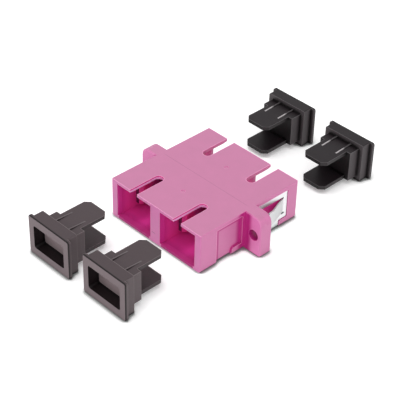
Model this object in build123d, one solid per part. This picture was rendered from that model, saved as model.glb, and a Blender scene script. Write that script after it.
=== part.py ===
from build123d import *
import os

# A duplex fibre adapter for SC plugs, with its four dust caps pulled out of the ports.
# Sizes are in millimetres. X runs across the two ports, Y through them and Z up.
# The origin is the middle of the adapter's underside, in the seam between its two halves.
# Each half, its inserts and its caps are modelled on the +Y side and turned round for the front.

# Housing
body_width = 26.0
body_length = 27.2
body_height = 9.1
top_edge_radius = 0.25
foot_edge_radius = 0.7
end_edge_radius = 0.3

# Ports, one on each side of the middle
port_pitch = 12.7
port_width = 9.4
port_height = 7.5
mouth_width = 10.0
mouth_height = 7.8
mouth_depth = 1.0
keyway_width = 2.1
keyway_length = 7.8

# Flange with a screw ear on each side, half of it on each housing half
flange_thickness = 3.1
flange_top_radius = 2.0
flange_foot_radius = 0.4
flange_edge_chamfer = 0.2
screw_pitch = 30.8
screw_hole_diameter = 2.4
screw_to_ear_end = 1.95

# Seat for the panel clip, sunk into both sides and across the underside of each half
recess_depth = 0.45
recess_top_wall = 0.9
recess_from_flange = 0.7
ledge_height = 1.6
ledge_ramp = 0.35
front_recess_length = 7.0
front_ledge_length = 2.65
rear_recess_length = 8.55
rear_ledge_length = 2.3

# Marks that the moulding tool leaves on the top
gate_mark_diameter = 0.9
gate_mark_depth = 0.05
gate_mark_from_seam = 6.05

# Panel clip of bent spring steel
clip_sheet = 0.3
clip_bend_radius = 0.3
clip_clearance = 0.05
clip_corner_radius = 0.5
clip_top_band = 1.2
clip_root_band = 1.1
tongue_height = 3.3
tongue_slit = 0.3
tongue_reach = 1.8
tongue_bend_from_root = 4.55
tongue_bend_reach = 1.65
tongue_tip_from_flange = 2.1

# Latch inserts, two to a channel, base to base at the seam
insert_plate_width = 10.4
insert_plate_height = 7.4
insert_plate_thickness = 1.5
insert_clearance = 0.05
barrel_diameter = 4.6
barrel_lip_length = 0.5
barrel_lip_bore = 2.85
barrel_nose_chamfer = 0.3
hook_length = 7.7
hook_height = 4.8
hook_thickness = 0.9
hook_spacing = 6.6
hook_nose = 0.55
hook_nose_length = 0.5
hook_lead_length = 0.8
hook_back_length = 0.3

# Split alignment sleeves
sleeve_outer_diameter = 3.2
sleeve_bore_diameter = 2.5
sleeve_length = 11.4
sleeve_slit = 0.5
sleeve_clearance = 0.05

# Dust caps
cap_rim_width = 12.2
cap_rim_thickness = 0.7
cap_rim_radius = 0.5
cap_rim_edge_chamfer = 0.15
cap_collar_width = 10.5
cap_collar_length = 2.2
cap_collar_radius = 0.3
cap_plug_width = 8.4
cap_plug_height = 6.9
cap_plug_length = 2.7
cap_window_width = 9.05
cap_window_height = 5.4
cap_window_depth = 2.6
cap_window_radius = 0.5
blade_width = 6.2
blade_thickness = 0.8
blade_length = 7.0
blade_tip_chamfer = 1.0
grip_rib_spacing = 3.9
grip_rib_thickness = 0.3
grip_rib_length = 4.9
grip_rib_clearance = 0.05

# Where the caps stand: how far to the side of their ports, and from the seam to their outer faces
front_cap_aside = {"left": -2.25, "right": 1.4}
rear_cap_aside = {"left": -2.3, "right": 2.28}
front_cap_distance = {"left": 33.5, "right": 33.5}
rear_cap_distance = {"left": 36.1, "right": 35.5}

# Worked out from the sizes above
half_length = body_length / 2
half_flange = flange_thickness / 2
flange_width = screw_pitch + 2 * screw_to_ear_end
axis_height = body_height / 2
channel_depth = clip_sheet + clip_clearance
recess_start = half_flange + recess_from_flange
recess_top = body_height - recess_top_wall
recess_floor = body_width / 2 - recess_depth
channels = {"left": -port_pitch / 2, "right": port_pitch / 2}


def block(x, y, z):
    """A box between the two X, the two Y and the two Z values given."""
    limits = (x, y, z)
    size = [high - low for low, high in limits]
    centre = [(high + low) / 2 for low, high in limits]
    return Pos(*centre) * Box(*size)


def around(centre, size):
    """The two limits of a size laid evenly about a centre."""
    return (centre - size / 2, centre + size / 2)


def along_x(outline, start, end):
    """An outline drawn in Y and Z, extruded from x = start to x = end."""
    return extrude(Plane.YZ.offset(start) * outline, end - start, dir=(1, 0, 0))


def along_y(outline, start, end):
    """An outline drawn in X and Z, extruded from y = start to y = end."""
    return extrude(Plane.XZ.offset(-end) * outline, end - start)


def along_z(outline, start, end):
    """An outline drawn in X and Y, extruded from z = start to z = end."""
    return extrude(Plane.XY.offset(start) * outline, end - start)


def rounded(outline, level, radius):
    """An outline with its lowest (level 0) or highest (level -1) corners rounded."""
    return fillet(outline.vertices().group_by(Axis.Y)[level], radius)


def standing_outline(width, height, top_radius, foot_radius):
    """A rectangle that stands on z = 0, rounded on its top and its foot corners."""
    outline = Pos(0, height / 2) * Rectangle(width, height)
    return rounded(rounded(outline, -1, top_radius), 0, foot_radius)


def cylinder_along_y(x, z, diameter, start, end):
    """A round bar along Y."""
    return along_y(Pos(x, z) * Circle(diameter / 2), start, end)


def left_and_right(solid):
    """A solid and its mirror image on the other side of the middle."""
    return solid + mirror(solid, about=Plane.YZ)


def turned_to_front(solid):
    """A solid of the rear half, turned about Z to serve at the front."""
    return Rot(0, 0, 180) * solid


def port(x):
    """The way in for a plug: a straight cavity with a wider mouth, and the insert's pocket."""
    mouth_start = half_length - mouth_depth
    cavity = block(around(x, port_width), (0, half_length), around(axis_height, port_height))
    inner = Plane.XZ.offset(-mouth_start) * Pos(x, axis_height) * Rectangle(port_width, port_height)
    outer = Plane.XZ.offset(-half_length) * Pos(x, axis_height) * Rectangle(mouth_width, mouth_height)
    pocket_width = insert_plate_width + 2 * insert_clearance
    pocket_height = insert_plate_height + 2 * insert_clearance
    pocket = block(
        around(x, pocket_width), (0, insert_plate_thickness), around(axis_height, pocket_height)
    )
    return cavity + loft([inner, outer]) + pocket


def keyway(x):
    """The slot in a port's top wall that takes the plug's key, closed by a round end."""
    round_end = half_length - keyway_length + keyway_width / 2
    straight = half_length - round_end
    outline = Pos(x, round_end) * Circle(keyway_width / 2)
    outline += Pos(x, round_end + straight / 2) * Rectangle(keyway_width, straight)
    return along_z(outline, axis_height, body_height)


def ledge_corner(step, run):
    """What is cut off the corner of a ledge, which slopes down towards the strap's way."""
    outline = make_face(
        Polyline(
            (step, ledge_height),
            (step + run, ledge_height),
            (step, ledge_height - ledge_ramp),
            close=True,
        )
    )
    return along_x(outline, recess_floor, body_width / 2)


def clip_seat(recess_length, strap_start, strap_end):
    """What is cut away for the panel clip: a recess in each side, and a way across the underside."""
    recess_end = recess_start + recess_length
    core_width = 2 * recess_floor
    core = Pos(0, channel_depth + body_height / 2) * Rectangle(core_width, body_height)
    core = rounded(core, 0, clip_bend_radius)
    whole = Pos(0, recess_top / 2) * Rectangle(body_width, recess_top)
    strap_way = along_y(whole - core, strap_start, strap_end)
    side = block((recess_floor, body_width / 2), (recess_start, recess_end), (ledge_height, recess_top))
    if strap_start > recess_start:
        side += ledge_corner(strap_start, -ledge_ramp)
    if strap_end < recess_end:
        side += ledge_corner(strap_end, ledge_ramp)
    return strap_way + left_and_right(side)


def housing_half(seat):
    """One moulded half, at the rear, with its clip seat cut out."""
    body = along_y(
        standing_outline(body_width, body_height, top_edge_radius, foot_edge_radius), 0, half_length
    )
    plan = rounded(Pos(0, half_length / 2) * Rectangle(body_width, half_length), -1, end_edge_radius)
    body &= along_z(plan, 0, body_height)
    flange = along_y(
        standing_outline(flange_width, body_height, flange_top_radius, flange_foot_radius), 0, half_flange
    )
    flange = chamfer(flange.faces().sort_by(Axis.Y)[-1].edges(), flange_edge_chamfer)
    half = body + flange - seat
    for x in channels.values():
        half -= port(x)
        half -= keyway(x)
    for x in (-screw_pitch / 2, screw_pitch / 2):
        half -= cylinder_along_y(x, axis_height, screw_hole_diameter, 0, half_flange)
    gate_mark = Pos(0, gate_mark_from_seam) * Circle(gate_mark_diameter / 2)
    return half - along_z(gate_mark, body_height - gate_mark_depth, body_height)


def clip_tongue(root, slit_bottom):
    """The sprung tongue of one side, bent out of its leg towards the flange."""
    middle = recess_floor + clip_sheet / 2
    tip = half_flange + tongue_tip_from_flange
    bend = root - tongue_bend_from_root
    path = Polyline(
        (middle, root + clip_sheet),
        (middle, root),
        (middle + tongue_bend_reach, bend),
        (middle + tongue_reach, tip),
    )
    bottom = slit_bottom + tongue_slit
    return along_z(trace(path, clip_sheet), bottom, bottom + tongue_height)


def panel_clip():
    """The clip: a strap under the rear half, a leg up each side and a tongue cut from each leg."""
    front = recess_start + clip_clearance
    strap_end = recess_start + rear_recess_length - rear_ledge_length - clip_clearance
    leg_end = recess_start + rear_recess_length - clip_clearance
    leg_top = recess_top - clip_clearance
    leg_face = recess_floor + clip_sheet
    root = leg_end - clip_root_band

    outside = Pos(0, clip_clearance + leg_top / 2) * Rectangle(2 * leg_face, leg_top)
    outside = rounded(outside, 0, clip_bend_radius + clip_sheet)
    inside = Pos(0, channel_depth + leg_top / 2) * Rectangle(2 * recess_floor, leg_top)
    inside = rounded(inside, 0, clip_bend_radius)
    above = Pos(0, leg_top + body_height / 2) * Rectangle(body_width, body_height)
    strip = along_y(outside - inside - above, front, strap_end)

    leg_foot = ledge_height + clip_clearance
    tail = block((recess_floor, leg_face), (strap_end, leg_end), (leg_foot, leg_top))
    foot_edge = tail.edges().filter_by(Axis.X).group_by(Axis.Y)[-1].sort_by(Axis.Z)[0]
    tail = fillet(foot_edge, clip_corner_radius)

    slit_top = leg_top - clip_top_band
    slit_bottom = slit_top - tongue_height - 2 * tongue_slit
    window = block((recess_floor, leg_face), (front + clip_top_band, root), (slit_bottom, slit_top))
    tongue = clip_tongue(root, slit_bottom)
    return strip + left_and_right(tail) - left_and_right(window) + left_and_right(tongue)


def latch_hook():
    """The hook on the +X side of the barrel, with its nose turned in towards it."""
    inner = hook_spacing / 2
    outer = inner + hook_thickness
    nose = inner - hook_nose
    tip = insert_plate_thickness + hook_length
    lead = tip - hook_lead_length
    flat = lead - hook_nose_length
    outline = make_face(
        Polyline(
            (inner, insert_plate_thickness),
            (outer, insert_plate_thickness),
            (outer, tip),
            (inner, tip),
            (nose, lead),
            (nose, flat),
            (inner, flat - hook_back_length),
            close=True,
        )
    )
    low, high = around(axis_height, hook_height)
    return along_z(outline, low, high)


def latch_insert():
    """One insert on the middle plane: base plate, half of the sleeve barrel and two hooks."""
    sleeve_room = sleeve_length / 2 + sleeve_clearance
    barrel_end = sleeve_room + barrel_lip_length
    plate = block(
        around(0, insert_plate_width),
        (0, insert_plate_thickness),
        around(axis_height, insert_plate_height),
    )
    barrel = cylinder_along_y(0, axis_height, barrel_diameter, 0, barrel_end)
    barrel = chamfer(barrel.faces().sort_by(Axis.Y)[-1].edges(), barrel_nose_chamfer)
    room_diameter = sleeve_outer_diameter + 2 * sleeve_clearance
    sleeve_bore = cylinder_along_y(0, axis_height, room_diameter, 0, sleeve_room)
    lip_bore = cylinder_along_y(0, axis_height, barrel_lip_bore, 0, barrel_end)
    return plate + barrel + left_and_right(latch_hook()) - sleeve_bore - lip_bore


def alignment_sleeve():
    """A split sleeve on the middle plane, with its slit on top."""
    start, end = around(0, sleeve_length)
    sleeve = cylinder_along_y(0, axis_height, sleeve_outer_diameter, start, end)
    sleeve -= cylinder_along_y(0, axis_height, sleeve_bore_diameter, start, end)
    return sleeve - block(around(0, sleeve_slit), (start, end), (axis_height, body_height))


def blade():
    """The cap's upper blade, level with the top of its plug."""
    start = cap_rim_thickness + cap_collar_length + cap_plug_length
    top = axis_height + cap_plug_height / 2
    solid = block(around(0, blade_width), (start, start + blade_length), (top - blade_thickness, top))
    tip_corners = solid.edges().filter_by(Axis.Z).group_by(Axis.Y)[-1]
    return chamfer(tip_corners, blade_tip_chamfer)


def grip_rib(x):
    """A rib on top of the plug and blade that thins away towards the blade's tip."""
    start = cap_rim_thickness + cap_collar_length
    foot = axis_height + cap_plug_height / 2
    crest = axis_height + port_height / 2 - grip_rib_clearance
    outline = make_face(
        Polyline((start, foot), (start, crest), (start + grip_rib_length, foot), close=True)
    )
    left, right = around(x, grip_rib_thickness)
    return along_x(outline, left, right)


def dust_cap():
    """A cap on the middle plane, with its outer face at y = 0 and its blades towards +Y."""
    collar_end = cap_rim_thickness + cap_collar_length
    plug_end = collar_end + cap_plug_length
    rim = along_y(
        Pos(0, axis_height) * RectangleRounded(cap_rim_width, body_height, cap_rim_radius),
        0,
        cap_rim_thickness,
    )
    rim = chamfer(rim.faces().sort_by(Axis.Y)[0].edges(), cap_rim_edge_chamfer)
    collar = along_y(
        Pos(0, axis_height) * RectangleRounded(cap_collar_width, body_height, cap_collar_radius),
        cap_rim_thickness,
        collar_end,
    )
    plug = block(around(0, cap_plug_width), (collar_end, plug_end), around(axis_height, cap_plug_height))
    window = along_y(
        Pos(0, axis_height) * RectangleRounded(cap_window_width, cap_window_height, cap_window_radius),
        0,
        cap_window_depth,
    )
    upper = blade()
    lower = mirror(upper, about=Plane.XY.offset(axis_height))
    ribs = left_and_right(grip_rib(grip_rib_spacing / 2))
    return rim + collar + plug - window + upper + lower + ribs


front_strap_start = recess_start + front_ledge_length
front_seat = clip_seat(front_recess_length, front_strap_start, recess_start + front_recess_length)
rear_strap_end = recess_start + rear_recess_length - rear_ledge_length
rear_seat = clip_seat(rear_recess_length, recess_start, rear_strap_end)

pieces = {
    "housing_front": turned_to_front(housing_half(front_seat)),
    "housing_rear": housing_half(rear_seat),
    "panel_clip": panel_clip(),
}
insert = latch_insert()
sleeve = alignment_sleeve()
cap = dust_cap()
for side, x in channels.items():
    pieces[f"latch_insert_front_{side}"] = Pos(x, 0, 0) * turned_to_front(insert)
    pieces[f"latch_insert_rear_{side}"] = Pos(x, 0, 0) * insert
    pieces[f"alignment_sleeve_{side}"] = Pos(x, 0, 0) * sleeve
    front_place = Pos(x + front_cap_aside[side], -front_cap_distance[side], 0)
    rear_place = Pos(x + rear_cap_aside[side], rear_cap_distance[side], 0)
    pieces[f"dust_cap_front_{side}"] = front_place * cap
    pieces[f"dust_cap_rear_{side}"] = rear_place * turned_to_front(cap)

os.makedirs("parts", exist_ok=True)
for name, solid in pieces.items():
    export_step(solid, f"parts/{name}.step")
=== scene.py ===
import math
from types import SimpleNamespace

import bpy
from mathutils import Matrix, Vector


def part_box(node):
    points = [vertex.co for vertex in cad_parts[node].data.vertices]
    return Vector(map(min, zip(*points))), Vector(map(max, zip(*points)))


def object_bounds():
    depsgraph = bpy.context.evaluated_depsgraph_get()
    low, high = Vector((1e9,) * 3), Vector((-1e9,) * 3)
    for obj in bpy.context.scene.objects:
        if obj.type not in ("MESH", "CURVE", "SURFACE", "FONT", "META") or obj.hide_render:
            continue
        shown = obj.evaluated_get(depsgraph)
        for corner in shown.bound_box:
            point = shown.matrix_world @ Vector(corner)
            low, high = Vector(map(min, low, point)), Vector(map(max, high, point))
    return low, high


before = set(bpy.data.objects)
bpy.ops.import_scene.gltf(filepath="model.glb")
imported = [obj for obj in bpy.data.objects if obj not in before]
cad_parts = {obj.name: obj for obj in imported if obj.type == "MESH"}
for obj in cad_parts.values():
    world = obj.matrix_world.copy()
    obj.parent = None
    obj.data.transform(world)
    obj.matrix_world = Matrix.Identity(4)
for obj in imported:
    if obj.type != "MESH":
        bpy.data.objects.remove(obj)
cad_low, cad_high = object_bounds()

MM = 0.001

# The camera, fitted to the edges of the adapter in the photograph
camera_azimuth = math.radians(45.31)
camera_elevation = math.radians(36.73)
camera_roll = math.radians(1.5)
camera_distance = 272.9 * MM
camera_aim_height = 3.85 * MM
camera_aim_aside = -0.91 * MM
camera_clip_range = 100
focal_length_pixels = 1339.8
photo_width_pixels = 400
sensor_width = 36

# The surround and the two lamps
white = (1.0, 1.0, 1.0)
world_level = 0.76
world_level_seen = 1.0
key_energy = 0.38
key_size = 0.11
key_distance = 0.4
key_azimuth = math.radians(-45)
key_elevation = math.radians(80)
fill_energy = 1.6
fill_size = 1.2
fill_distance = 0.5
fill_azimuth = math.radians(38)
fill_elevation = math.radians(30)

# The floor, with a lift that brings it to white in the open, greener by the magenta housing, and a
# painted contact shadow round the object
floor_size = 3.0
floor_drop = 0.02 * MM
floor_unseen = (0.9, 0.9, 0.9)
# floor_contact is the grey of the painted contact shadow
floor_contact = (0.30, 0.31, 0.305)
floor_contact_reach = 1.2
floor_contact_limits = (0.97, 0.5)
floor_lift = (0.24, 0.24, 0.24)
# The greener lift by the housing paints out the pink light that the housing throws on the floor
floor_lift_by_housing = (0.36, 0.47, 0.42)
by_housing_side = (19.5, 13.5)
by_housing_end = (20.0, 14.0)

# Small rounding of the edges, which the solids leave sharp
edge_rounding = 0.07 * MM
edge_segments = 2
edge_angle = math.radians(32)
weld_distance = 0.001 * MM

# Where painted shade goes in inner corners and painted highlights along outer edges, found by ambient
# occlusion, with reaches in millimetres
occlusion_samples = 12
edge_reach = 0.2
edge_limits = (0.9, 0.6)
housing_crease_reach = 1.0
housing_crease_limits = (0.96, 0.7)
housing_crease_share = 0.85
cap_crease_reach = 1.0
cap_crease_limits = (0.97, 0.6)
cap_crease_level = 0.15
steel_crease_reach = 0.3
steel_crease_limits = (0.9, 0.4)

# How squarely a face looks along an axis where its colour starts, and where it is full
squarely = (0.6, 0.95)
squarely_back = (-0.6, -0.95)
loosely = (0.5, 0.9)
loosely_back = (-0.5, -0.9)
hook_end_squarely = (0.85, 0.95)
cap_squarely = (0.6, 0.9)
cap_squarely_out = (0.8, 0.95)
cap_squarely_in = (-0.8, -0.95)
blade_side_aslant = (0.8, 0.5)

# Widths over which one colour gives way to the next, in millimetres
crisp = 0.05
soft = 0.1
faint = 0.2

# Colours of the housing and the latch inserts, as linear red, green and blue
# Painted light: the paleness of the outside colours is a painted sheen, and the top, side and front
# copies paint how the light falls on each
housing_top = (0.53, 0.18, 0.335)
housing_side = (0.62, 0.185, 0.385)
housing_front = (0.74, 0.21, 0.48)
# Painted highlight along the outer edges
housing_edge_highlight = (0.90, 0.36, 0.62)
# Painted shade beside the ears, in the screw hole and along the recess
housing_corner_shade = (0.45, 0.009, 0.19)
# Painted shade in the inner corners
housing_crease_shade = (0.55, 0.03, 0.25)
# Painted shade on the recess floor behind the clip's windows, and near-black painted shade under the
# strap
housing_window_shade = (1.0, 0.05, 0.42)
under_strap_shade = (0.02, 0.008, 0.014)
# Painted light inside the ports: deep colours for the shaded walls and floors, brighter further in and on
# the walls to even out the shade
port_wall_near = (0.63, 0.022, 0.27)
port_wall_far = (0.92, 0.06, 0.41)
port_floor_near = (0.49, 0.020, 0.20)
port_floor_far = (0.80, 0.045, 0.37)
port_lip = (0.46, 0.012, 0.19)
# A painted glow on the front keyways' walls, a dark line along their top, and painted shade on the rear
# keyways' walls
keyway_wall_glow = (1.0, 0.48, 0.85)
keyway_line = (0.74, 0.055, 0.29)
keyway_rear_shade = (0.74, 0.19, 0.42)
# The inserts' lit sides, and painted shade on the ends of the hooks
insert_side = (0.80, 0.04, 0.30)
hook_end_shade = (0.10, 0.003, 0.045)
# Painted shade deep in the ports, on the housing and on the inserts
deep_port_shade = (0.7, 0.06, 0.38)

# Colours of the caps, the clip and the sleeves
cap_colours = {
    # Front caps: painted light on the outer face and pocket floor, and lit copies of the black for the
    # top and the sides
    "dust_cap_front": {
        "outer face": (0.17, 0.13, 0.14),
        "pocket floor": (0.27, 0.21, 0.22),
        "top": (0.068, 0.050, 0.055),
        "side": (0.108, 0.084, 0.090),
        # edge is a painted highlight for the outer edges
        "edge": (0.17, 0.14, 0.145),
        "rib crest highlight": (0.12, 0.10, 0.105),
    },
    # Rear caps: darker copies that paint the deeper shade on them, with the sides painted lighter than
    # the top
    "dust_cap_rear": {
        "outer face": (0.04, 0.034, 0.036),
        "pocket floor": (0.05, 0.043, 0.045),
        "top": (0.012, 0.008, 0.010),
        "side": (0.070, 0.060, 0.064),
        # edge is a painted highlight for the outer edges
        "edge": (0.11, 0.10, 0.105),
        "rib crest highlight": (0.42, 0.39, 0.40),
    },
}
# Painted shade, near black, on the pocket walls and the rib sides
cap_shade = (0.014, 0.009, 0.010)
steel_colour = (0.76, 0.77, 0.78)
# Painted shade for the clip's inner corners and its slit
steel_shade = (0.12, 0.12, 0.13)
zirconia_colour = (0.88, 0.87, 0.83)

# Where the housing's colour changes, in millimetres from the middle of its underside
port_side_edge = (11.9, 11.5)
port_end_edge = (13.6, 13.45)
port_floor_edge = (0.42, 0.6)
port_roof_edge = (8.95, 8.6)
port_inward = (13.3, 10.8)
port_deep = (6.2, 5.2)
lip_sides = (1.7, 11.0)
lip_face = (13.4, 13.5)
lip_height = (0.95, 0.85)
lip_foot = (0.03, 0.15)
keyway_middle = 6.35
keyway_half_width = 1.2
keyway_foot = 8.25
keyway_line_foot = (8.75, 8.83)
keyway_top = (9.09, 9.06)
front_half = (0.0, -1.0)
rear_half = (-1.0, 1.0)
seam_width = (0.07, 0.0)
seam_ends = (12.9, 11.0)
seam_clear = 0.2
seam_share = 0.8
line_level = 0.55
mark_height = 2.4
mark_thickness = (0.1, 0.05)
mark_ends = (-1.0, 0.1)
mark_face = (-13.5, -13.55)
ear_root = (12.9, 13.1)
# Where the painted shade by the ears reaches
ear_shade_span = (15.3, 13.9)
ear_thickness = (1.3, 1.8)
body_side = (13.3, 13.1)
body_shade_span = (4.1, 2.5)
screw_middle = 15.4
screw_height = 4.55
screw_hole_edge = (1.3, 1.22)
recess_floor = (12.8, 12.7)
# Where the painted shade line round the recess runs
recess_step_line = (-8.2, -8.5)
recess_top_line = (7.2, 7.45)
recess_line_share = 0.75
clip_ends = (2.2, 10.9)
strap_shade = (3.8, 3.6)

# Where the latch hooks end, in millimetres from the seam
hook_end = (8.2, 8.5)

# Where a cap's colour changes, in millimetres from its middle and from its outer face
pocket_half_width = 4.6
pocket_half_height = 2.8
pocket_depth = (0.12, 0.2)
pocket_end = (2.9, 2.7)
outer_edge_depth = (0.35, 0.2)
plug_end = (5.3, 5.5)
plug_end_level = 0.15
blade_start = (5.6, 5.8)
blade_side_level = 0.45
rib_from_middle = 1.95
rib_half_width = (0.24, 0.17)
rib_ends = (2.95, 7.75)
rib_foot = (3.43, 3.47)
rib_crest_start = (4.8, 5.6)

# Where the clip's colour changes, in millimetres from the middle of the housing's underside
tongue_start = (12.87, 13.1)
tongue_level = 0.76
slit_ends = (9.05, 10.1)
slit_end_blur = 0.15
slit_height = (2.65, 3.1)
slit_edge_blur = 0.08

# Finish of the moulded plastic, with sizes in millimetres
mould_cloud_size = 2.5
mould_cloud_amount = 0.05
mould_gloss_amount = 0.08
mould_grain_size = 0.12
mould_grain_strength = 0.5
mould_grain_depth = 0.006
plastic_roughness = 0.42
cap_gloss = 0.2

# Finish of the steel and the zirconia, with sizes in millimetres
streak_size = 0.15
streak_squeeze = 0.08
streak_amount = 0.05
streak_strength = 0.3
streak_depth = 0.005
steel_roughness = 0.42
steel_gloss_amount = 0.08
zirconia_cloud_size = 1.0
zirconia_cloud_amount = 0.03
zirconia_roughness = 0.2
zirconia_gloss_amount = 0.05


def direction(azimuth, elevation):
    """The way towards a camera or lamp: azimuth 0 is straight in front, 90 degrees is at +X."""
    return Vector(
        (
            math.sin(azimuth) * math.cos(elevation),
            -math.cos(azimuth) * math.cos(elevation),
            math.sin(elevation),
        )
    )


def point_camera():
    """The photograph's camera, on the adapter's middle."""
    back = direction(camera_azimuth, camera_elevation)
    level_right = (-back).cross(Vector((0, 0, 1))).normalized()
    level_up = level_right.cross(-back)
    right = math.cos(camera_roll) * level_right + math.sin(camera_roll) * level_up
    up = math.cos(camera_roll) * level_up - math.sin(camera_roll) * level_right
    aim = Vector((0, 0, camera_aim_height)) + level_right * camera_aim_aside

    data = bpy.data.cameras.new("camera")
    data.sensor_width = sensor_width
    data.lens = focal_length_pixels / photo_width_pixels * sensor_width
    data.clip_start = camera_distance / camera_clip_range
    data.clip_end = camera_distance * camera_clip_range
    camera = bpy.data.objects.new("camera", data)
    turn = Matrix((right, up, back)).transposed().to_4x4()
    camera.matrix_world = Matrix.Translation(aim + back * camera_distance) @ turn
    bpy.context.scene.collection.objects.link(camera)
    bpy.context.scene.camera = camera


def place_lamp(name, energy, size, distance, towards):
    """A soft square lamp that shines on the middle of the adapter."""
    data = bpy.data.lights.new(name, "AREA")
    data.energy = energy
    data.size = size
    lamp = bpy.data.objects.new(name, data)
    lamp.location = towards * distance
    lamp.rotation_mode = "QUATERNION"
    lamp.rotation_quaternion = towards.to_track_quat("Z", "Y")
    bpy.context.scene.collection.objects.link(lamp)


def put(tree, socket, value):
    """Gives a socket a plain value, or links it to another socket."""
    if isinstance(value, bpy.types.NodeSocket):
        tree.links.new(value, socket)
    else:
        socket.default_value = value


def calculate(tree, operation, *values):
    """One step of arithmetic on plain values or sockets."""
    node = tree.nodes.new("ShaderNodeMath")
    node.operation = operation
    for socket, value in zip(node.inputs, values):
        put(tree, socket, value)
    return node.outputs[0]


def magnitude(tree, value):
    """A value without its sign."""
    return calculate(tree, "ABSOLUTE", value)


def away_from(tree, value, middle):
    """How far a value is from a middle, on either side."""
    return magnitude(tree, calculate(tree, "SUBTRACT", value, middle))


def radius(tree, across, up):
    """The distance from a line, out of two distances square to each other."""
    squares = [calculate(tree, "MULTIPLY", value, value) for value in (across, up)]
    return calculate(tree, "SQRT", calculate(tree, "ADD", *squares))


def ramp(tree, value, start, end):
    """A smooth step from 0 at the start to 1 at the end; it falls where the end is the lower."""
    node = tree.nodes.new("ShaderNodeMapRange")
    node.interpolation_type = "SMOOTHSTEP"
    put(tree, node.inputs["Value"], value)
    node.inputs["From Min"].default_value = start
    node.inputs["From Max"].default_value = end
    return node.outputs["Result"]


def between(tree, value, low, high, blur):
    """1 where a value is between two limits."""
    return together(tree, ramp(tree, value, low, low + blur), ramp(tree, value, high, high - blur))


def together(tree, *shares):
    """The product of several shares: 1 only where all of them are."""
    total = shares[0]
    for share in shares[1:]:
        total = calculate(tree, "MULTIPLY", total, share)
    return total


def either(tree, *shares):
    """The largest of several shares."""
    total = shares[0]
    for share in shares[1:]:
        total = calculate(tree, "MAXIMUM", total, share)
    return total


def all_but(tree, share):
    """1 where a share is 0, and 0 where it is 1."""
    return calculate(tree, "SUBTRACT", 1.0, share)


def faded(tree, share, level):
    """1 where a share is 0, and the level where it is 1."""
    return calculate(tree, "MULTIPLY_ADD", share, level - 1, 1.0)


def varied(tree, value, noise_value, amount):
    """A plain value that the noise moves up and down by the amount."""
    return calculate(tree, "MULTIPLY_ADD", noise_value, 2 * amount, value - amount)


def blend(tree, share, first, second):
    """A colour that goes from the first to the second as the share goes from 0 to 1."""
    node = tree.nodes.new("ShaderNodeMix")
    node.data_type = "RGBA"
    sockets = [socket for socket in node.inputs if socket.enabled]
    put(tree, sockets[0], share)
    for socket, colour in zip(sockets[1:], (first, second)):
        put(tree, socket, colour if isinstance(colour, bpy.types.NodeSocket) else (*colour, 1))
    return next(socket for socket in node.outputs if socket.enabled)


def scaled(tree, vector, level):
    """A colour or a point times a level."""
    node = tree.nodes.new("ShaderNodeVectorMath")
    node.operation = "SCALE"
    put(tree, node.inputs[0], vector)
    put(tree, node.inputs["Scale"], level)
    return node.outputs[0]


def split(tree, vector):
    """The X, Y and Z of a vector."""
    node = tree.nodes.new("ShaderNodeSeparateXYZ")
    tree.links.new(vector, node.inputs[0])
    return list(node.outputs)


def object_point(tree):
    """The point on the object, in millimetres."""
    place = tree.nodes.new("ShaderNodeTexCoord")
    return scaled(tree, place.outputs["Object"], 1 / MM)


def surface(tree):
    """Where the surface is, in millimetres, and how far it faces X, Y and Z, from -1 to 1."""
    x, y, z = split(tree, object_point(tree))
    place = tree.nodes.new("ShaderNodeTexCoord")
    faces_x, faces_y, faces_z = split(tree, place.outputs["Normal"])
    return SimpleNamespace(
        x=x,
        y=y,
        z=z,
        side=magnitude(tree, x),
        along=magnitude(tree, y),
        faces_x=faces_x,
        faces_y=faces_y,
        faces_z=faces_z,
    )


def noise(tree, point, size):
    """Cloudy noise from 0 to 1, with patches about the given size in millimetres."""
    node = tree.nodes.new("ShaderNodeTexNoise")
    tree.links.new(point, node.inputs["Vector"])
    node.inputs["Scale"].default_value = 1 / size
    return node.outputs[0]


def openness(tree, reach, inside=False, own_only=False):
    """Ambient occlusion: 1 in the open, and less where a wall is within reach."""
    node = tree.nodes.new("ShaderNodeAmbientOcclusion")
    node.samples = occlusion_samples
    node.inside = inside
    node.only_local = own_only
    node.inputs["Distance"].default_value = reach * MM
    return node.outputs["AO"]


def creases(tree, reach, limits, own_only=False):
    """1 deep in an inner corner and 0 in the open; reach is how far off a wall still counts."""
    return ramp(tree, openness(tree, reach, own_only=own_only), *limits)


def edges(tree):
    """1 along the outer edges and 0 on the flats."""
    return ramp(tree, openness(tree, edge_reach, inside=True, own_only=True), *edge_limits)


def bumped(tree, height, strength, depth):
    """A surface normal with fine relief."""
    node = tree.nodes.new("ShaderNodeBump")
    node.inputs["Strength"].default_value = strength
    node.inputs["Distance"].default_value = depth * MM
    tree.links.new(height, node.inputs["Height"])
    return node.outputs[0]


def seen_directly(tree):
    """1 for camera, mirror and glass rays, 0 for the rays that only carry light."""
    path = tree.nodes.new("ShaderNodeLightPath")
    names = ("Is Camera Ray", "Is Glossy Ray", "Is Transmission Ray")
    return either(tree, *[path.outputs[name] for name in names])


def light_world():
    """An even white surround, full white where the camera or a reflection sees it."""
    world = bpy.data.worlds.new("studio")
    world.use_nodes = True
    bpy.context.scene.world = world
    tree = world.node_tree
    tree.nodes.clear()
    mix = tree.nodes.new("ShaderNodeMixShader")
    tree.links.new(seen_directly(tree), mix.inputs[0])
    for socket, level in zip(mix.inputs[1:], (world_level, world_level_seen)):
        background = tree.nodes.new("ShaderNodeBackground")
        background.inputs["Color"].default_value = (*white, 1)
        background.inputs["Strength"].default_value = level
        tree.links.new(background.outputs[0], socket)
    output = tree.nodes.new("ShaderNodeOutputWorld")
    tree.links.new(mix.outputs[0], output.inputs["Surface"])


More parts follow.
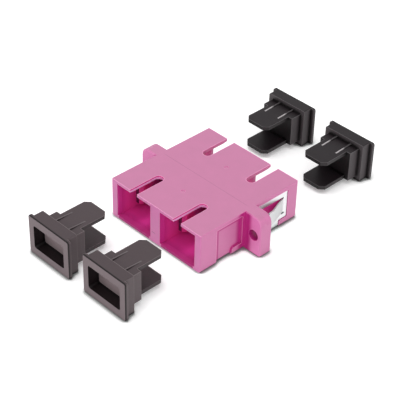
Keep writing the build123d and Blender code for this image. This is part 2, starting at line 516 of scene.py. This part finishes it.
def floor_material():
    """White paper, full white in the open and grey in the object's shadow, darkest in a painted contact
    shadow right round it.
    """
    material = bpy.data.materials.new("floor_paper")
    material.use_nodes = True
    tree = material.node_tree
    tree.nodes.clear()
    seen = seen_directly(tree)
    # Painted contact shadow: ambient occlusion turns the seen colour grey close to the object
    contact = creases(tree, floor_contact_reach, floor_contact_limits)
    paper = tree.nodes.new("ShaderNodeBsdfDiffuse")
    seen_colour = blend(tree, contact, white, floor_contact)
    put(tree, paper.inputs["Color"], blend(tree, seen, floor_unseen, seen_colour))

    x, y, _ = split(tree, object_point(tree))
    by_housing = together(
        tree,
        ramp(tree, magnitude(tree, x), *by_housing_side),
        ramp(tree, magnitude(tree, y), *by_housing_end),
    )
    lift = tree.nodes.new("ShaderNodeEmission")
    put(tree, lift.inputs["Color"], blend(tree, by_housing, floor_lift, floor_lift_by_housing))
    put(tree, lift.inputs["Strength"], together(tree, seen, all_but(tree, contact)))

    both = tree.nodes.new("ShaderNodeAddShader")
    for socket, shader in zip(both.inputs, (paper, lift)):
        tree.links.new(shader.outputs[0], socket)
    output = tree.nodes.new("ShaderNodeOutputMaterial")
    tree.links.new(both.outputs[0], output.inputs["Surface"])
    return material


def lay_floor():
    """A large floor just under the object."""
    half = floor_size / 2
    height = cad_low.z - floor_drop
    corners = [(-half, -half), (half, -half), (half, half), (-half, half)]
    mesh = bpy.data.meshes.new("floor")
    mesh.from_pydata([(x, y, height) for x, y in corners], [], [range(len(corners))])
    mesh.materials.append(floor_material())
    floor = bpy.data.objects.new("floor", mesh)
    bpy.context.scene.collection.objects.link(floor)


def new_material(name):
    """A material, its node tree and its main shader."""
    material = bpy.data.materials.new(name)
    material.use_nodes = True
    tree = material.node_tree
    return material, tree, tree.nodes["Principled BSDF"]


def mould_finish(tree, shader, colour):
    """The finish of moulded plastic: faint clouds in the colour, a fine grain and uneven gloss."""
    point = object_point(tree)
    clouds = noise(tree, point, mould_cloud_size)
    grain = noise(tree, point, mould_grain_size)
    level = varied(tree, 1.0, clouds, mould_cloud_amount)
    put(tree, shader.inputs["Base Color"], scaled(tree, colour, level))
    put(tree, shader.inputs["Roughness"], varied(tree, plastic_roughness, clouds, mould_gloss_amount))
    put(tree, shader.inputs["Normal"], bumped(tree, grain, mould_grain_strength, mould_grain_depth))


def housing_outside(tree, at, in_hole, outside):
    """The pale outer faces, deep with painted shade beside the ears and in the screw hole, with painted
    highlights on the edges and a painted shade line round the recess.
    """
    # Painted shade and reflection of the body on the ear's front face and on the body's side beside it
    shaded_ear_face = together(
        tree,
        ramp(tree, at.x, *ear_shade_span),
        ramp(tree, at.x, *ear_root),
        ramp(tree, at.faces_y, *loosely_back),
        between(tree, at.along, *ear_thickness, soft),
    )
    shaded_body_side = together(
        tree,
        ramp(tree, at.along, *body_shade_span),
        ramp(tree, at.y, *front_half),
        ramp(tree, at.faces_x, *loosely),
        ramp(tree, at.side, *body_side),
    )
    # Painted light: lit copies of the magenta for the sides, the front and the top
    upright = blend(tree, ramp(tree, at.faces_y, *squarely_back), housing_side, housing_front)
    colour = blend(tree, ramp(tree, at.faces_z, *squarely), upright, housing_top)
    colour = blend(tree, either(tree, shaded_ear_face, shaded_body_side, in_hole), colour, housing_corner_shade)

    # Painted highlight along the outer edges, kept off the seam
    off_seam = ramp(tree, at.along, seam_clear, seam_clear + soft)
    colour = blend(tree, together(tree, edges(tree), outside, off_seam), colour, housing_edge_highlight)

    # A painted shade line along the recess's step and under its top edge
    recess_line = together(
        tree,
        ramp(tree, at.side, *recess_floor),
        ramp(tree, magnitude(tree, at.faces_x), *loosely),
        ramp(tree, at.y, *front_half),
        either(tree, ramp(tree, at.y, *recess_step_line), ramp(tree, at.z, *recess_top_line)),
        recess_line_share,
    )
    return blend(tree, recess_line, colour, housing_corner_shade)


def port_inside(tree, at):
    """The deep colour of a port's walls and floor, which paints the shaded light inside, brighter further
    in to even out the shade.
    """
    inward = ramp(tree, at.along, *port_inward)
    wall = blend(tree, inward, port_wall_near, port_wall_far)
    floor = blend(tree, inward, port_floor_near, port_floor_far)
    return blend(tree, ramp(tree, at.faces_z, *squarely), wall, floor)


def with_keyways(tree, at, colour):
    """A colour with the keyways' walls in it: a painted glow on the front ones with a dark line along the
    top, and painted shade on the rear ones.
    """
    in_keyway = together(
        tree,
        ramp(tree, away_from(tree, at.side, keyway_middle), keyway_half_width, keyway_half_width - soft),
        ramp(tree, at.z, keyway_foot, keyway_foot + soft),
        ramp(tree, at.z, *keyway_top),
    )
    # Painted glow on the front walls, painted shade on the rear ones
    front_wall = blend(tree, ramp(tree, at.z, *keyway_line_foot), keyway_wall_glow, keyway_line)
    wall = blend(tree, ramp(tree, at.y, *rear_half), front_wall, keyway_rear_shade)
    return blend(tree, in_keyway, colour, wall)


def fine_lines(tree, at):
    """A share along the seam and on the short moulding mark of the middle wall."""
    seam = together(tree, ramp(tree, at.along, *seam_width), ramp(tree, at.side, *seam_ends), seam_share)
    mark = together(
        tree,
        ramp(tree, away_from(tree, at.z, mark_height), *mark_thickness),
        between(tree, at.x, *mark_ends, faint),
        ramp(tree, at.y, *mark_face),
    )
    return either(tree, seam, mark)


def housing_material():
    """Magenta plastic: pale with a painted sheen outside, deep with painted shade in the ports and in the
    corners.
    """
    material, tree, shader = new_material("housing_magenta")
    at = surface(tree)
    in_port = together(
        tree,
        ramp(tree, at.side, *port_side_edge),
        ramp(tree, at.along, *port_end_edge),
        ramp(tree, at.z, *port_floor_edge),
        ramp(tree, at.z, *port_roof_edge),
    )
    on_lip = together(
        tree,
        between(tree, at.side, *lip_sides, soft),
        ramp(tree, at.along, *lip_face),
        ramp(tree, at.z, *lip_height),
        ramp(tree, at.z, *lip_foot),
    )
    under_clip = together(
        tree,
        ramp(tree, at.side, *recess_floor),
        between(tree, at.y, *clip_ends, crisp),
        ramp(tree, at.z, *port_roof_edge),
    )
    from_screw = radius(
        tree, away_from(tree, at.side, screw_middle), away_from(tree, at.z, screw_height)
    )
    in_hole = ramp(tree, from_screw, *screw_hole_edge)
    outside = all_but(tree, either(tree, in_port, under_clip, in_hole))

    colour = housing_outside(tree, at, in_hole, outside)
    # Painted shade under the clip: deep behind its windows and near black under the strap
    window = blend(tree, ramp(tree, at.z, *strap_shade), housing_window_shade, under_strap_shade)
    colour = blend(tree, under_clip, colour, window)
    # Painted light and shade inside the ports
    colour = blend(tree, in_port, colour, port_inside(tree, at))
    colour = blend(tree, on_lip, colour, port_lip)
    colour = with_keyways(tree, at, colour)
    # Painted shade deep in the ports
    deep = together(tree, in_port, ramp(tree, at.along, *port_deep))
    colour = blend(tree, deep, colour, deep_port_shade)
    # Painted shade in the inner corners outside the ports
    crease = creases(tree, housing_crease_reach, housing_crease_limits, own_only=True)
    crease = together(tree, crease, outside, housing_crease_share)
    colour = blend(tree, crease, colour, housing_crease_shade)
    colour = scaled(tree, colour, faded(tree, fine_lines(tree, at), line_level))
    mould_finish(tree, shader, colour)
    return material


def insert_material():
    """Magenta plastic of the latch inserts, with painted shade: nearly black on the ends of the hooks and
    deep in the ports.
    """
    material, tree, shader = new_material("insert_magenta")
    at = surface(tree)
    end = together(
        tree,
        ramp(tree, at.along, *hook_end),
        ramp(tree, magnitude(tree, at.faces_y), *hook_end_squarely),
    )
    # Painted shade on the ends of the hooks, and deep in the ports
    colour = blend(tree, end, insert_side, hook_end_shade)
    colour = blend(tree, ramp(tree, at.along, *port_deep), colour, deep_port_shade)
    mould_finish(tree, shader, colour)
    return material


def cap_surface(tree, name):
    """A cap's surface, measured from its middle and from its outer face."""
    low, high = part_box(name)
    middle = (low + high) / 2 / MM
    at = surface(tree)
    at.aside = away_from(tree, at.x, middle.x)
    at.above = away_from(tree, at.z, middle.z)
    if high.y < 0:
        at.depth = calculate(tree, "SUBTRACT", at.y, low.y / MM)
        at.faces_out = calculate(tree, "MULTIPLY", at.faces_y, -1.0)
    else:
        at.depth = calculate(tree, "SUBTRACT", high.y / MM, at.y)
        at.faces_out = at.faces_y
    return at


def with_ribs(tree, at, colour, crest_highlight_colour):
    """A cap's colour with its ribs in it: painted shade on their sides, and painted highlights on their
    crests towards the blade's tip.
    """
    on_rib = together(
        tree,
        ramp(tree, away_from(tree, at.aside, rib_from_middle), *rib_half_width),
        between(tree, at.depth, *rib_ends, soft),
        ramp(tree, at.above, *rib_foot),
    )
    sideways = ramp(tree, magnitude(tree, at.faces_x), *cap_squarely)
    # Painted highlight on the rib crests towards the blade's tip
    crest = together(tree, on_rib, all_but(tree, sideways), ramp(tree, at.depth, *rib_crest_start))
    # Painted shade on the rib sides
    colour = blend(tree, together(tree, on_rib, sideways), colour, cap_shade)
    return blend(tree, crest, colour, crest_highlight_colour)


def cap_material(name, colours):
    """Black plastic of one cap, with painted light on its outer face and pocket floor, painted shade on
    the walls of its pocket, and painted highlights on its edges.
    """
    material, tree, shader = new_material(name)
    at = cap_surface(tree, name)
    in_front = ramp(tree, at.depth, *pocket_end)
    sunk = ramp(tree, at.depth, *pocket_depth)
    turned_out = ramp(tree, at.faces_out, *cap_squarely_out)
    turned_away = all_but(tree, turned_out)
    outer = together(tree, turned_out, in_front)
    pocket = together(
        tree,
        ramp(tree, at.aside, pocket_half_width, pocket_half_width - crisp),
        ramp(tree, at.above, pocket_half_height, pocket_half_height - crisp),
        sunk,
        in_front,
        turned_away,
    )
    # Painted light: lit copies of the black for the sides and the top, and painted light on the outer
    # face and the pocket floor
    colour = blend(tree, ramp(tree, at.faces_z, *cap_squarely), colours["side"], colours["top"])
    lit_outer_colour = blend(tree, sunk, colours["outer face"], colours["pocket floor"])
    colour = blend(tree, outer, colour, lit_outer_colour)
    # Painted shade on the walls of the pocket
    colour = blend(tree, pocket, colour, cap_shade)

    # Painted shade in the inner corners, off the outer face
    crease = together(tree, creases(tree, cap_crease_reach, cap_crease_limits), all_but(tree, outer))
    outer_edge = together(tree, turned_away, ramp(tree, at.depth, *outer_edge_depth))
    on_plug_end = together(
        tree, ramp(tree, at.faces_out, *cap_squarely_in), ramp(tree, at.depth, *plug_end)
    )
    blade_side = together(
        tree,
        ramp(tree, at.depth, *blade_start),
        ramp(tree, magnitude(tree, at.faces_z), *blade_side_aslant),
    )
    # How far each spot is darkened: painted shade in the creases, and darker lines at the outer face's
    # edges, on the plug's end and along the blades' sides
    shade = together(
        tree,
        faded(tree, either(tree, crease, outer_edge), cap_crease_level),
        faded(tree, on_plug_end, plug_end_level),
        faded(tree, blade_side, blade_side_level),
    )
    # Painted highlight along the outer edges, off the blades' sides, the outer face's edges and the
    # pocket
    edge_highlight = together(
        tree,
        edges(tree),
        all_but(tree, blade_side),
        all_but(tree, outer_edge),
        turned_away,
        all_but(tree, pocket),
    )
    colour = blend(tree, edge_highlight, scaled(tree, colour, shade), colours["edge"])
    mould_finish(tree, shader, with_ribs(tree, at, colour, colours["rib crest highlight"]))
    shader.inputs["Specular IOR Level"].default_value = cap_gloss
    return material


def steel_material():
    """Bright rolled spring steel, with fine streaks along the strip, and painted shade in its inner
    corners and along the tongue's slit.
    """
    material, tree, shader = new_material("clip_steel")
    at = surface(tree)
    stretched = tree.nodes.new("ShaderNodeVectorMath")
    stretched.operation = "MULTIPLY"
    tree.links.new(object_point(tree), stretched.inputs[0])
    stretched.inputs[1].default_value = (1.0, streak_squeeze, 1.0)
    streaks = noise(tree, stretched.outputs[0], streak_size)
    slit = together(
        tree,
        between(tree, at.y, *slit_ends, slit_end_blur),
        between(tree, at.z, *slit_height, slit_edge_blur),
    )
    # Painted shade in the clip's inner corners
    colour = blend(tree, creases(tree, steel_crease_reach, steel_crease_limits), steel_colour, steel_shade)
    # Painted shade along the tongue's slit
    colour = blend(tree, slit, colour, steel_shade)
    level = together(
        tree,
        varied(tree, 1.0, streaks, streak_amount),
        faded(tree, ramp(tree, at.side, *tongue_start), tongue_level),
    )
    put(tree, shader.inputs["Base Color"], scaled(tree, colour, level))
    shader.inputs["Metallic"].default_value = 1.0
    put(tree, shader.inputs["Roughness"], varied(tree, steel_roughness, streaks, steel_gloss_amount))
    put(tree, shader.inputs["Normal"], bumped(tree, streaks, streak_strength, streak_depth))
    return material


def sleeve_material():
    """Ground zirconia: off-white, smooth, faintly clouded."""
    material, tree, shader = new_material("sleeve_zirconia")
    clouds = noise(tree, object_point(tree), zirconia_cloud_size)
    level = varied(tree, 1.0, clouds, zirconia_cloud_amount)
    put(tree, shader.inputs["Base Color"], scaled(tree, zirconia_colour, level))
    put(tree, shader.inputs["Roughness"], varied(tree, zirconia_roughness, clouds, zirconia_gloss_amount))
    return material


def material_for(name, finishes):
    """A cap's own material, or the one that its kind of piece shares."""
    for start, colours in cap_colours.items():
        if name.startswith(start):
            return cap_material(name, colours)
    return next(finish for start, finish in finishes.items() if name.startswith(start))


def dress(name, material):
    """Gives a CAD node its material and rounds its edges a little."""
    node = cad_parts[name]
    for slot in node.material_slots:
        slot.material = material
    weld = node.modifiers.new("weld", "WELD")
    weld.merge_threshold = weld_distance
    bevel = node.modifiers.new("bevel", "BEVEL")
    bevel.width = edge_rounding
    bevel.segments = edge_segments
    bevel.limit_method = "ANGLE"
    bevel.angle_limit = edge_angle
    bevel.use_clamp_overlap = True
    bevel.harden_normals = True


shared_finishes = {
    "housing": housing_material(),
    "latch_insert": insert_material(),
    "panel_clip": steel_material(),
    "alignment_sleeve": sleeve_material(),
}
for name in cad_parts:
    dress(name, material_for(name, shared_finishes))

bpy.context.scene.view_settings.view_transform = "Standard"
point_camera()
light_world()
place_lamp("key", key_energy, key_size, key_distance, direction(key_azimuth, key_elevation))
place_lamp("fill", fill_energy, fill_size, fill_distance, direction(fill_azimuth, fill_elevation))
lay_floor()
